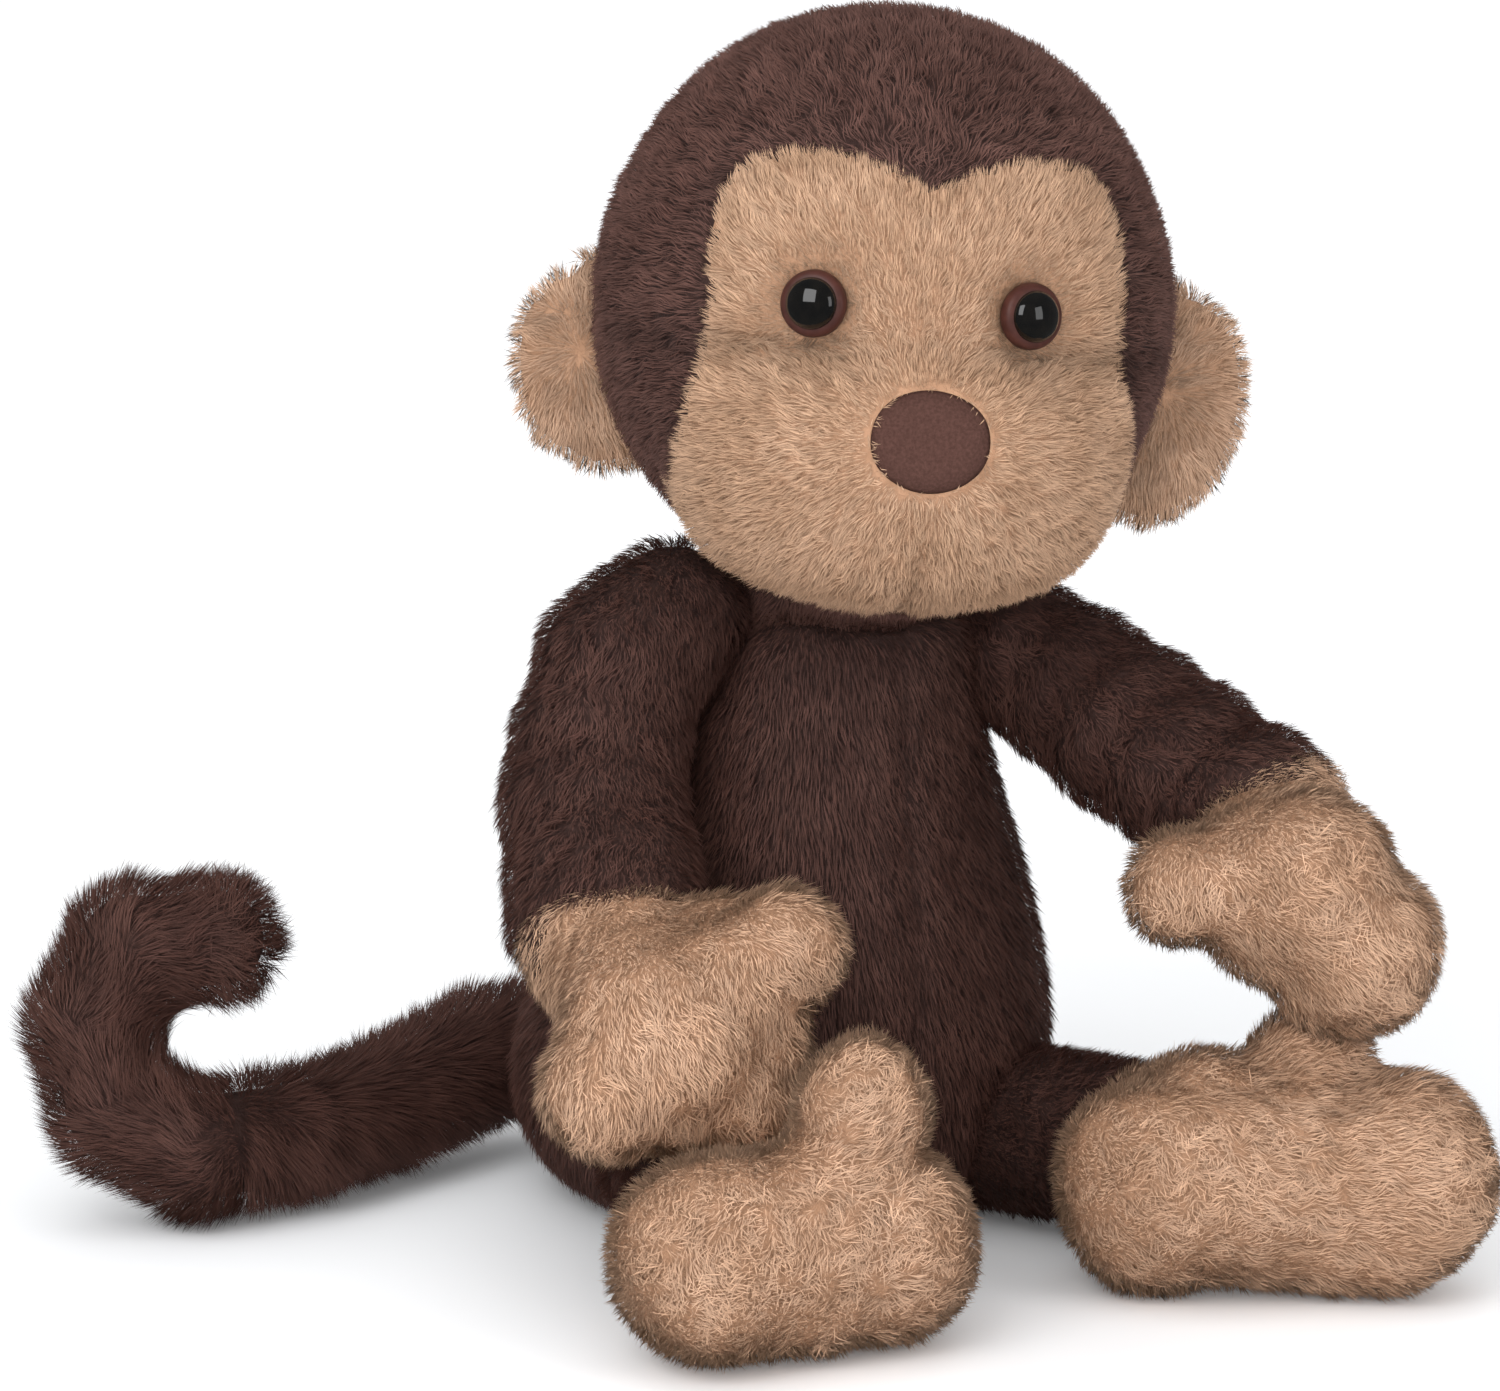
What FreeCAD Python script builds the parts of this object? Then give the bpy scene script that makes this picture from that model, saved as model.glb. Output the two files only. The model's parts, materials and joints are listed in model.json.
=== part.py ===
import FreeCAD, Part
import os
from math import sqrt

# A sitting stuffed monkey about 27 cm tall, in millimetres.
# +Z is up, the toy's belly faces -Y, and its right side is -X.
# The origin is the middle of the flat patch under its seat.
# Plush pieces are plain closed solids: each skin is a shell, with its stuffing inside.

Vector = FreeCAD.Vector

# ---- fabric and clearances ----
PLUSH = 3.0            # plush fabric, pile pressed half down
FILL_GAP = 0.25        # between a skin and its stuffing
SOCKET_GAP = 0.4       # between a root ball and the socket it turns in
CORE = 0.97            # how full a limb's tapered core is against the balls at its ends
ROOT_CORE = 0.85       # the same at the ball that a hand or a foot turns on
ROOT_SWELL = 1.2       # how much larger that ball is than the sleeve's end around it
BIG = 300.0            # larger than the whole toy, for cutting blocks
LIMB_POLES = Vector(5, 1, 1)    # the balls in limbs have their poles off the way limbs run

# ---- torso: rings from the seat up to the neck (height, radius, sideways, forwards) ----
TORSO_RINGS = (
    (0.0, 38.0, 0.0, -4.0),
    (8.0, 53.0, 0.0, -4.0),
    (27.0, 61.0, 0.0, -4.0),
    (58.0, 56.5, 2.0, 0.0),
    (82.0, 48.5, 3.5, 4.0),
    (106.0, 38.0, 5.0, 8.0),
    (122.0, 34.0, 5.5, 10.5),
    (132.0, 30.0, 6.0, 12.0),
    (138.0, 22.0, 6.0, 13.0),
)
TORSO_SEAM_Y = -10.0   # side seams between the belly panel and the back panel

# ---- bean bag in the seat ----
BEAN_R = 30.0
BEAN_BOTTOM = 6.0
BEAN_TOP = 26.0
BEAN_CLOTH = 0.8
BEAN_CENTRE_Y = 12.0

# ---- neck and head ----
NECK = Vector(5.5, -20.0, 143.0)
NECK_R = 20.0
HEAD = Vector(4.5, -35.0, 203.0)
HEAD_R = 62.5
HEAD_YAW = -20.0       # the head looks a little to its right
HEAD_ROLL = 3.5        # and leans a little to its left
MUZZLE_FORWARD = 22.0
MUZZLE_DOWN = 23.0
MUZZLE_HALF = (46.0, 45.0, 41.0)
FACE_TILT = 18.0       # the face panel's seam lies in a plane that looks this far down
FACE_FORWARD = 39.0    # and stands this far in front of the head's centre

# ---- eyes and nose, in the head's own directions from its centre ----
EYE_AT = {"right": (-24.5, 5.5), "left": (22.0, 5.0)}    # sideways, up
EYE_RIM_R = 6.8
EYE_RIM_DEPTH = 2.2
EYE_STEM_R = 2.5
EYE_STEM_LENGTH = 15.0
EYE_HOLE_REACH = 6.0   # how far the eye's hole is cut in front of its seat
PUPIL_R = 5.3
PUPIL_RISE = 3.2
WASHER_R = 8.5
WASHER_THICK = 2.0
NOSE_UP = -20.5
NOSE_HALF = (12.6, 2.6, 10.6)
NOSE_TILT = -12.0      # the nose looks a little up

# ---- ears ----
EAR_ASIDE = {"right": 51.5, "left": 56.0}
EAR_BACK = 6.0
EAR_UP = {"right": -13.5, "left": -17.0}
EAR_R = 26.0
EAR_HALF_THICK = 5.0
EAR_SWEEP = 12.0       # each ear's rim leans this far back
EAR_CLEAR = 3.4        # between an ear's root and the head it folds against

# ---- arms and hands ----
RIGHT_ARM = (
    (Vector(-40.0, -14.5, 132.5), 16.0),
    (Vector(-58.0, -19.0, 103.0), 19.5),
    (Vector(-66.0, -43.0, 77.5), 20.5),
)
LEFT_ARM = (
    (Vector(44.0, -19.0, 127.0), 16.0),
    (Vector(58.0, -52.0, 110.0), 19.0),
    (Vector(68.0, -84.0, 95.0), 20.0),
)
RIGHT_PALM = ((Vector(-69.5, -75.0, 61.0), 22.5), (Vector(-82.0, -79.0, 52.0), 16.5))
RIGHT_THUMB = ((Vector(-57.0, -78.0, 73.0), 13.0), (Vector(-44.5, -83.0, 78.5), 10.5))
LEFT_PALM = ((Vector(61.0, -116.0, 85.5), 20.8), (Vector(70.0, -121.5, 73.5), 18.8))
LEFT_THUMB = ((Vector(51.0, -111.0, 87.5), 12.6), (Vector(38.0, -106.0, 86.5), 10.6))

# ---- legs and feet ----
RIGHT_LEG = ((Vector(-38.0, -27.0, 21.8), 21.3), (Vector(-50.0, -82.0, 21.8), 20.2))
LEFT_LEG = ((Vector(36.0, -31.0, 20.8), 20.3), (Vector(46.0, -82.0, 21.8), 20.3))
RIGHT_SOLE = ((Vector(-41.0, -114.0, 23.3), 22.8), (Vector(-75.0, -111.0, 23.0), 22.5))
LEFT_SOLE = ((Vector(32.5, -108.0, 24.5), 24.0), (Vector(74.0, -129.0, 24.7), 24.2))
RIGHT_TOE = ((Vector(-47.0, -116.0, 38.0), 13.5), (Vector(-46.0, -118.0, 55.5), 12.5))
LEFT_TOE = ((Vector(62.0, -114.0, 36.0), 14.5), (Vector(67.0, -107.0, 46.5), 12.0))
SOLE_MIDDLE = 0.4      # where across the sole the two lobes and the leg meet
HIP_AXIS = Vector(1, 0, 0)
HIP_SWEEP = 45         # how far a leg lowers, in degrees
SWEEP_STEP = 9         # between the places a swept limb is cut at

# ---- tail ----
TAIL_AXIS = Vector(0, 0, -1)
TAIL_SWEEP = 27        # past this the tail has swung clear of the back
TAIL = (
    (Vector(-8.0, 62.0, 25.0), 15.5),
    (Vector(-41.0, 70.0, 23.0), 15.8),
    (Vector(-72.0, 57.0, 17.5), 16.5),
    (Vector(-99.0, 43.0, 16.8), 16.0),
    (Vector(-125.0, 39.5, 16.8), 16.0),
    (Vector(-140.5, 47.0, 26.0), 16.0),
    (Vector(-144.0, 52.0, 44.0), 16.0),
    (Vector(-135.0, 49.0, 61.0), 16.0),
    (Vector(-119.0, 41.0, 63.0), 15.0),
)


def between(start, end, share):
    return start + (end - start) * share


def ball(centre, radius, poles=Vector(0, 0, 1)):
    return Part.makeSphere(radius, centre, poles)


def ellipsoid(half):
    """An ellipsoid about the origin, given its three half sizes."""
    stretch = FreeCAD.Matrix()
    stretch.scale(half[0], half[1], half[2])
    return Part.makeSphere(1.0).transformGeometry(stretch)


def core(start, start_r, end, end_r):
    """A tapered round bar between two points."""
    along = end - start
    if abs(start_r - end_r) < 0.05:
        return Part.makeCylinder(start_r, along.Length, start, along)
    return Part.makeCone(start_r, end_r, along.Length, start, along)


def limb(stations, inset=0.0, first_core=CORE):
    """A chain of balls with tapered cores between them."""
    pieces = []
    share = first_core
    for centre, radius in stations:
        pieces.append(ball(centre, radius - inset, LIMB_POLES))
    for (start, start_r), (end, end_r) in zip(stations, stations[1:]):
        pieces.append(core(start, share * (start_r - inset), end, CORE * (end_r - inset)))
        share = CORE
    return pieces[0].fuse(pieces[1:]).removeSplitter()


def skin_and_fill(make, cuts=()):
    """The skin and the stuffing of a soft piece that make(inset) builds."""
    skin = make(0.0).cut(make(PLUSH))
    fill = make(PLUSH + FILL_GAP)
    for cutter in cuts:
        skin = skin.cut(cutter)
        fill = fill.cut(cutter)
    return skin, fill


def socket(station):
    """The space that the ball at a station turns in."""
    centre, radius = station
    return ball(centre, radius + SOCKET_GAP, LIMB_POLES)


# ---- torso ----
def torso_solid(inset=0.0):
    """The pear-shaped body, through rings that lean forwards as they rise."""
    height = TORSO_RINGS[-1][0]
    rings = []
    for z, radius, sideways, forwards in TORSO_RINGS:
        level = inset + z * (height - 2.0 * inset) / height
        circle = Part.makeCircle(radius - inset, Vector(sideways, -forwards, level))
        rings.append(Part.Wire([circle]))
    below = Part.makeBox(BIG, BIG, BIG, Vector(-BIG / 2, -BIG / 2, inset - BIG))
    return Part.makeLoft(rings, True, False).cut(below)


def clearance(stations, axis=Vector(0, 0, 1), sweep=0):
    """The room of a limb's first stretch, at rest and turned about its root up to a sweep."""
    (root, root_r), (second, second_r) = stations[:2]
    widest = max(root_r, second_r) + SOCKET_GAP
    along = second - root
    fan = [socket(stations[0])]
    for angle in range(0, sweep + 1, SWEEP_STEP):
        turn = FreeCAD.Rotation(axis, angle)
        fan.append(Part.makeCylinder(widest, along.Length, root, turn.multVec(along)))
    return fan[0].fuse(fan[1:])


def make_torso():
    cuts = [
        ball(NECK, NECK_R + SOCKET_GAP),
        clearance(RIGHT_ARM),
        clearance(LEFT_ARM),
        clearance(RIGHT_LEG, HIP_AXIS, HIP_SWEEP),
        clearance(LEFT_LEG, HIP_AXIS, HIP_SWEEP),
        clearance(TAIL, TAIL_AXIS, TAIL_SWEEP),
    ]
    skin, fill = skin_and_fill(torso_solid, cuts)
    bag_centre = Vector(0, BEAN_CENTRE_Y, BEAN_BOTTOM)
    bag_height = BEAN_TOP - BEAN_BOTTOM
    bag = Part.makeCylinder(BEAN_R, bag_height, bag_centre)
    inside = Part.makeCylinder(
        BEAN_R - BEAN_CLOTH,
        bag_height - 2.0 * BEAN_CLOTH,
        bag_centre + Vector(0, 0, BEAN_CLOTH),
    )
    room = Part.makeCylinder(
        BEAN_R + FILL_GAP,
        bag_height + 2.0 * FILL_GAP,
        bag_centre - Vector(0, 0, FILL_GAP),
    )
    front = Part.makeBox(BIG, BIG, BIG, Vector(-BIG / 2, TORSO_SEAM_Y - BIG, -BIG / 2))
    return {
        "torso_front_panel": skin.common(front),
        "torso_back_panel": skin.cut(front),
        "torso_stuffing": fill.cut(room),
        "bean_bag": bag.cut(inside),
        "bean_pellets": inside.copy(),
    }


# ---- head ----
def head_place():
    """The placement that carries head pieces from the head's own frame."""
    yaw = FreeCAD.Rotation(Vector(0, 0, 1), HEAD_YAW)
    roll = FreeCAD.Rotation(Vector(0, 1, 0), HEAD_ROLL)
    return FreeCAD.Placement(HEAD, yaw.multiply(roll))


def placed(shape):
    moved = shape.copy()
    moved.Placement = head_place().multiply(moved.Placement)
    return moved


def head_solid(inset=0.0):
    """Skull and muzzle in the head's own frame."""
    muzzle = ellipsoid([half - inset for half in MUZZLE_HALF])
    muzzle.translate(Vector(0, -MUZZLE_FORWARD, -MUZZLE_DOWN))
    return ball(Vector(0, 0, 0), HEAD_R - inset).fuse(muzzle)


def eye_axis(name):
    """Where an eye sits on the skull's surface, and the way it looks."""
    aside, up = EYE_AT[name]
    seat = Vector(aside, -sqrt(HEAD_R ** 2 - aside ** 2 - up ** 2), up)
    outward = Vector(seat)
    outward.normalize()
    return seat, outward


def make_eye(name):
    """A moulded eye: rim with its stem, the pupil dome in front, and the washer behind."""
    seat, outward = eye_axis(name)
    rim_back = seat - outward * EYE_RIM_DEPTH * 0.5
    rim = Part.makeCylinder(EYE_RIM_R, EYE_RIM_DEPTH, rim_back, outward)
    stem = Part.makeCylinder(EYE_STEM_R, EYE_STEM_LENGTH, rim_back, outward * -1)
    front = rim_back + outward * EYE_RIM_DEPTH
    dome_r = (PUPIL_R ** 2 + PUPIL_RISE ** 2) / (2.0 * PUPIL_RISE)
    dome = ball(front - outward * (dome_r - PUPIL_RISE), dome_r)
    cap = Part.makeCylinder(PUPIL_R + 1.0, PUPIL_RISE + 1.0, front, outward)
    washer_at = rim_back - outward * (PLUSH + WASHER_THICK + FILL_GAP)
    washer = Part.makeCylinder(WASHER_R, WASHER_THICK, washer_at, outward)
    washer = washer.cut(Part.makeCylinder(EYE_STEM_R, BIG, washer_at - outward * BIG / 2, outward))
    return {
        name + "_eye": rim.fuse(stem),
        name + "_pupil": dome.common(cap),
        name + "_eye_washer": washer,
    }


def eye_room(name):
    """The hole through the face and the room in the stuffing behind it."""
    seat, outward = eye_axis(name)
    inward = outward * -1
    start = seat + outward * EYE_HOLE_REACH
    hole_depth = EYE_HOLE_REACH + EYE_RIM_DEPTH * 0.5
    hole = Part.makeCylinder(EYE_RIM_R + FILL_GAP, hole_depth, start, inward)
    stem = Part.makeCylinder(EYE_STEM_R, hole_depth + EYE_STEM_LENGTH, start, inward)
    behind = Part.makeCylinder(WASHER_R + FILL_GAP, EYE_STEM_LENGTH, seat - outward * PLUSH, inward)
    return hole.fuse(stem), behind


def make_nose():
    """A flat oval of suede laid on the front of the muzzle."""
    rise = NOSE_UP + MUZZLE_DOWN
    share = sqrt(1.0 - (rise / MUZZLE_HALF[2]) ** 2)
    depth = MUZZLE_FORWARD + MUZZLE_HALF[1] * share
    nose = ellipsoid(NOSE_HALF)
    nose.rotate(Vector(0, 0, 0), Vector(1, 0, 0), NOSE_TILT)
    nose.translate(Vector(0, -depth, NOSE_UP))
    return nose


def face_half():
    """A large block that holds all of the head in front of the face panel's seam."""
    block = Part.makeBox(BIG, BIG, BIG, Vector(-BIG / 2, -BIG - FACE_FORWARD, -BIG / 2))
    block.rotate(Vector(0, 0, 0), Vector(1, 0, 0), FACE_TILT)
    return block


def make_head():
    skin, fill = skin_and_fill(head_solid)
    nose = make_nose()
    pieces = {}
    for name in EYE_AT:
        pieces.update(make_eye(name))
        hole, behind = eye_room(name)
        skin = skin.cut(hole)
        fill = fill.cut(hole).cut(behind)
    skin = skin.cut(nose)
    fill = fill.cut(nose)
    face = skin.common(face_half())
    cap = skin.cut(face_half())
    pieces.update({"head_cap": cap, "face_panel": face, "head_stuffing": fill, "nose": nose})
    out = {}
    neck_room = ball(NECK, NECK_R + SOCKET_GAP)
    for name, shape in pieces.items():
        shape = placed(shape)
        if name in ("head_cap", "face_panel", "head_stuffing"):
            shape = shape.cut(neck_room)
        out[name] = shape
    return out


def make_neck():
    """The plug of stuffing that joins head and body."""
    return {"neck_stuffing": ball(NECK, NECK_R)}


# ---- ears ----
def make_ear(name, side):
    """A flat round ear of two plush layers, trimmed clear of the head."""
    disc = ellipsoid((EAR_R, EAR_HALF_THICK, EAR_R))
    disc.rotate(Vector(0, 0, 0), Vector(0, 0, 1), side * EAR_SWEEP)
    disc.translate(Vector(side * EAR_ASIDE[name], EAR_BACK, EAR_UP[name]))
    disc = disc.cut(ball(Vector(0, 0, 0), HEAD_R + EAR_CLEAR))
    front = Part.makeBox(BIG, BIG, BIG, Vector(-BIG / 2, -BIG, -BIG / 2))
    front.rotate(Vector(0, 0, 0), Vector(0, 0, 1), side * EAR_SWEEP)
    front.translate(Vector(side * EAR_ASIDE[name], EAR_BACK, EAR_UP[name]))
    return {
        name + "_ear_front": placed(disc.common(front)),
        name + "_ear_back": placed(disc.cut(front)),
    }


# ---- arms, hands, legs, feet, tail ----
def swollen(station):
    """The root ball of the piece that turns in a sleeve's end."""
    centre, radius = station
    return (centre, radius + ROOT_SWELL)


def make_sleeve(name, stations):
    """A stuffed sleeve whose far end is hollowed for the ball of the next piece."""
    end = socket(swollen(stations[-1]))
    skin, fill = skin_and_fill(lambda inset: limb(stations, inset), [end])
    return {name + "_sleeve": skin, name + "_stuffing": fill}


def lobed(root, *lobes):
    """A mitten: a root ball, and lobes that grow from it or from each other."""
    def build(inset):
        base = limb((swollen(root), lobes[0][0]), inset, ROOT_CORE)
        return base.fuse([limb(lobe, inset) for lobe in lobes]).removeSplitter()
    return build


def make_mitten(name, root, main, digit):
    skin, fill = skin_and_fill(lobed(root, main, (main[0],) + digit))
    return {name + "_shell": skin, name + "_stuffing": fill}


def make_foot(name, ankle, sole, toe):
    middle = (between(sole[0][0], sole[1][0], SOLE_MIDDLE), sole[0][1])
    skin, fill = skin_and_fill(lobed(ankle, (middle, sole[0]), (middle, sole[1]), toe))
    return {name + "_shell": skin, name + "_stuffing": fill}


def make_tail():
    skin, fill = skin_and_fill(lambda inset: limb(TAIL, inset))
    return {"tail_sleeve": skin, "tail_stuffing": fill}


def build():
    nodes = {}
    nodes.update(make_torso())
    nodes.update(make_neck())
    nodes.update(make_head())
    for name, side in (("right", -1), ("left", 1)):
        nodes.update(make_ear(name, side))
    nodes.update(make_sleeve("right_arm", RIGHT_ARM))
    nodes.update(make_sleeve("left_arm", LEFT_ARM))
    nodes.update(make_mitten("right_hand", RIGHT_ARM[-1], RIGHT_PALM, RIGHT_THUMB))
    nodes.update(make_mitten("left_hand", LEFT_ARM[-1], LEFT_PALM, LEFT_THUMB))
    nodes.update(make_sleeve("right_leg", RIGHT_LEG))
    nodes.update(make_sleeve("left_leg", LEFT_LEG))
    nodes.update(make_foot("right_foot", RIGHT_LEG[-1], RIGHT_SOLE, RIGHT_TOE))
    nodes.update(make_foot("left_foot", LEFT_LEG[-1], LEFT_SOLE, LEFT_TOE))
    nodes.update(make_tail())
    return nodes


os.makedirs("parts", exist_ok=True)
for node, shape in build().items():
    shape.exportStep("parts/" + node + ".step")
    print(node, "solids", len(shape.Solids), "valid", shape.isValid(), "mm3", round(shape.Volume))
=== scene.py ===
import json
from math import cos, hypot, pi, radians, sin, tau

import bmesh
import bpy
import numpy as np
from mathutils import Matrix, Vector
from mathutils.bvhtree import BVHTree


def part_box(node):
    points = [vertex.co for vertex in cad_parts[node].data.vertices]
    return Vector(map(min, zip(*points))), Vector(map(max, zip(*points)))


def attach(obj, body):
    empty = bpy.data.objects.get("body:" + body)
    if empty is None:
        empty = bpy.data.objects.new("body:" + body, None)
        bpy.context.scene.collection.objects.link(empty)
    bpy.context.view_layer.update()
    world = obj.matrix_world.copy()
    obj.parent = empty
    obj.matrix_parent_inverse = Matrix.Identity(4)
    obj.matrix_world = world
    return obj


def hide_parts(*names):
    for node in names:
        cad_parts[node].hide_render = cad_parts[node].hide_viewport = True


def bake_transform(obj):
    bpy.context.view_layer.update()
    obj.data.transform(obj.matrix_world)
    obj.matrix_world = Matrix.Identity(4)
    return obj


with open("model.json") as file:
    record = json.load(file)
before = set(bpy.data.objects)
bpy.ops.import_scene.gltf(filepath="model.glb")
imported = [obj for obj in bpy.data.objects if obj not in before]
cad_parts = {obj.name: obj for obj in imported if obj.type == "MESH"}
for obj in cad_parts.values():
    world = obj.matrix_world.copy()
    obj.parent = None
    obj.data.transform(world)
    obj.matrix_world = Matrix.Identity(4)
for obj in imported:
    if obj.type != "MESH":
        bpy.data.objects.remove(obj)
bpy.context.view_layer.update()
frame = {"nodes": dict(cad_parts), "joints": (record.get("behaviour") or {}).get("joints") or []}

# A sitting plush monkey: smooth stuffed skins shaped from the CAD solids, each covered with
# a pile of real fibres, with moulded eyes and a suede nose. Everything is in metres.

MM = 0.001
JOINTS = {joint["name"]: joint for joint in frame["joints"]}

# ---- camera: the photograph's viewing angle ----
CAMERA_AZIMUTH = -28.0
CAMERA_ELEVATION = 10.0
CAMERA_DISTANCE = 1.3
CAMERA_TARGET = Vector((-0.0069, 0.00367, 0.11373))
CAMERA_LENS = 141.8
SENSOR = 36.0

# ---- the head's own frame, as the CAD turns it: x to its left, y back and z up ----
HEAD_CENTRE = Vector((4.5, -35.0, 203.0)) * MM
HEAD_TURN = Matrix.Rotation(radians(-20.0), 3, "Z") @ Matrix.Rotation(radians(3.5), 3, "Y")

# ---- skins ----
VOXEL = 2.4 * MM
SMOOTH_STEPS = (0.5, -0.52)    # towards the neighbours' middle, then back out a little further
LIMB_END_R = 19.6 * MM
PILE_DENSITY = 3.0e6           # fibres for each square metre, before each piece's own share
FIBRE_WIDTH = 0.23 * MM
ROOT_SINK = 0.3 * MM           # how far a fibre's root lies below the skin
FLOOR_GAP = 0.25 * MM          # the least height of a fibre
SEAT_GAP = 0.6 * MM            # the least height of a skin
HIDDEN_DEPTH = 3.0 * MM        # no pile grows where a skin lies this deep inside another

# The face panel's outline, in the head's frame, from the middle of the brow to the chin
# (sideways, up), in millimetres. It is the same on both sides.
FACE_OUTLINE = (
    (0.0, 28.0), (4.0, 29.8), (10.0, 32.6), (18.0, 34.4), (27.0, 34.4), (34.2, 32.4),
    (39.0, 27.4), (41.6, 20.0), (42.4, 11.5), (42.2, 3.0), (42.6, -6.0), (45.4, -17.0),
    (46.8, -28.0), (45.8, -40.0), (41.5, -52.0), (30.0, -70.0), (0.0, -75.0),
)
FACE_BACK = -12.0 * MM         # the panel ends this far in front of the head's centre

EYES = {"right": (-24.5 * MM, 5.5 * MM), "left": (22.0 * MM, 5.0 * MM)}
HEAD_R = 62.5 * MM
EAR_GROWTH = np.array([1.06, 1.06, 1.16])
NOSE_AT = Vector((0.0, -66.5, -20.5)) * MM
NOSE_HALF = (12.3 * MM, 10.3 * MM)
MUZZLE_TOP = -5.5 * MM
MUZZLE_SWELL = 5.4 * MM        # how far the muzzle stands out below its crease
CREASE_DEPTH, CREASE_WIDTH = 3.4 * MM, 3.6 * MM
SOCKET_DEPTH, SOCKET_R = 2.6 * MM, 10.0 * MM
CROWN_RISE = 2.0 * MM
CHIN_SEAM_DEPTH = 0.7 * MM
PANEL_SEAM_DEPTH = 1.0 * MM
EYE_CLEAR = 6.0 * MM           # no pile grows nearer to an eye's middle
NOSE_CLEAR = 1.01              # nor within the nose's outline, as a share of its half sizes

# ---- stuffing that fills the soft pieces out past their CAD solids ----
def balls_at(*rows):
    """Balls as (centre, radius) pairs, from rows of x, y, z and radius in millimetres."""
    return [(Vector(row[:3]) * MM, row[3] * MM) for row in rows]


WRIST_R = 22.0 * MM
SHOULDERS = {
    "right": balls_at(
        (-34, -11.5, 137.5, 17.0), (-41, -13, 132, 18.6), (-48, -14, 125, 20.5),
        (-54, -18, 112, 21.0), (-60, -26, 98, 21.5), (-63, -36, 86, 21.8),
    ),
    "left": balls_at(
        (38, -14, 130, 17.0), (45, -25, 123.5, 19.0), (52, -38, 117, 20.5),
        (57, -52, 110, 20.8), (62, -66, 104, 21.2),
    ),
}
PALM_FILL = {
    "right": balls_at(
        (-44.5, -83, 77.5, 14.0), (-56, -79, 71, 15.5), (-52, -66, 71, 17.5), (-51, -79, 57, 14.5),
        (-66, -70, 62, 24.0), (-69, -80, 46.5, 13.5), (-55, -83, 47.5, 14.0),
    ),
    "left": balls_at(
        (38.5, -106, 86, 13.5), (50, -111, 87, 15.5), (60, -112, 86, 22.5), (72, -117, 73, 20.5),
    ),
}
TOE_FILL = {
    "right": balls_at((-46, -117, 51, 15.8), (-47, -115, 38, 17.0)),
    "left": balls_at((66, -108, 45.5, 15.5), (62, -113, 36, 17.5), (42, -105, 37, 17.0)),
}
NECK_FILL = balls_at((-7, -11, 139, 17.0), (7, -12, 139, 17.0), (0, -9, 144, 17.0), (0, -5, 124, 22.5))

# Where a thumb or toe is sewn on, and small folds gather.
PALM_SPOT = {"right": Vector((-41, -86, 57)) * MM}
TOE_SPOT = {"left": Vector((49, -129, 42)) * MM, "right": Vector((-46, -131, 42)) * MM}

# The tail's middle line, from its root to its tip, which its pile follows.
TAIL_LINE = [Vector(p) * MM for p in (
    (-8, 62, 25), (-41, 70, 23), (-72, 57, 17.5), (-99, 43, 16.8), (-125, 39.5, 16.8),
    (-140.5, 47, 26), (-144, 52, 44), (-135, 49, 61), (-119, 41, 63),
)]


# ---- small array tools ----
def unit(rows):
    """Each row scaled to a length of 1."""
    size = np.linalg.norm(rows, axis=1, keepdims=True)
    return rows / np.maximum(size, 1e-9)


def dot(a, b):
    """The dot product of each pair of rows."""
    return np.einsum("ij,ij->i", a, b)


def ramp(values, low, high):
    """A smooth step from 0 at low to 1 at high."""
    share = np.clip((values - low) / (high - low), 0.0, 1.0)
    return share * share * (3.0 - 2.0 * share)


def bell(distance, width):
    """A smooth bump: 1 where the distance is 0, and gone by about twice the width."""
    return np.exp(-(distance / width) ** 2)


def waves(points, size, seed, count=14):
    """Smooth noise about 0 in three channels, with swirls of about the given size."""
    rng = np.random.default_rng(seed)
    total = np.zeros((len(points), 3))
    for _ in range(count):
        way = rng.normal(size=3)
        way *= tau / (size * rng.uniform(0.7, 1.6) * np.linalg.norm(way))
        total += np.sin((points @ way)[:, None] + rng.uniform(0.0, tau, 3))
    return total / np.sqrt(count / 2.0)


def to_head(points):
    """Points in the head's own frame."""
    return (points - np.array(HEAD_CENTRE)) @ np.array(HEAD_TURN)


def from_head(ways):
    """Directions from the head's own frame."""
    return ways @ np.array(HEAD_TURN).T


# ---- meshes ----
def new_object(name, data):
    """A new object in the scene, for a mesh, a light or a camera."""
    obj = bpy.data.objects.new(name, data)
    bpy.context.scene.collection.objects.link(obj)
    return obj


def mesh_arrays(mesh):
    """A mesh's points, triangles and point normals."""
    mesh.calc_loop_triangles()
    co = np.zeros(len(mesh.vertices) * 3)
    mesh.vertices.foreach_get("co", co)
    tris = np.zeros(len(mesh.loop_triangles) * 3, int)
    mesh.loop_triangles.foreach_get("vertices", tris)
    normals = np.zeros(len(mesh.vertices) * 3)
    mesh.vertex_normals.foreach_get("vector", normals)
    return co.reshape(-1, 3), tris.reshape(-1, 3), normals.reshape(-1, 3)


def set_points(mesh, co):
    mesh.vertices.foreach_set("co", co.ravel())
    mesh.update()


def evaluated(obj):
    """The object's mesh with its modifiers applied, as a new mesh."""
    bpy.context.view_layer.update()
    return bpy.data.meshes.new_from_object(obj.evaluated_get(bpy.context.evaluated_depsgraph_get()))


def keep_largest(bm):
    """Deletes everything but the largest connected piece."""
    seen = set()
    best = []
    for start in bm.verts:
        if start in seen:
            continue
        island = [start]
        seen.add(start)
        for vert in island:
            for edge in vert.link_edges:
                other = edge.other_vert(vert)
                if other not in seen:
                    seen.add(other)
                    island.append(other)
        if len(island) > len(best):
            best = island
    keep = set(best)
    bmesh.ops.delete(bm, geom=[v for v in bm.verts if v not in keep], context="VERTS")


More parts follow.
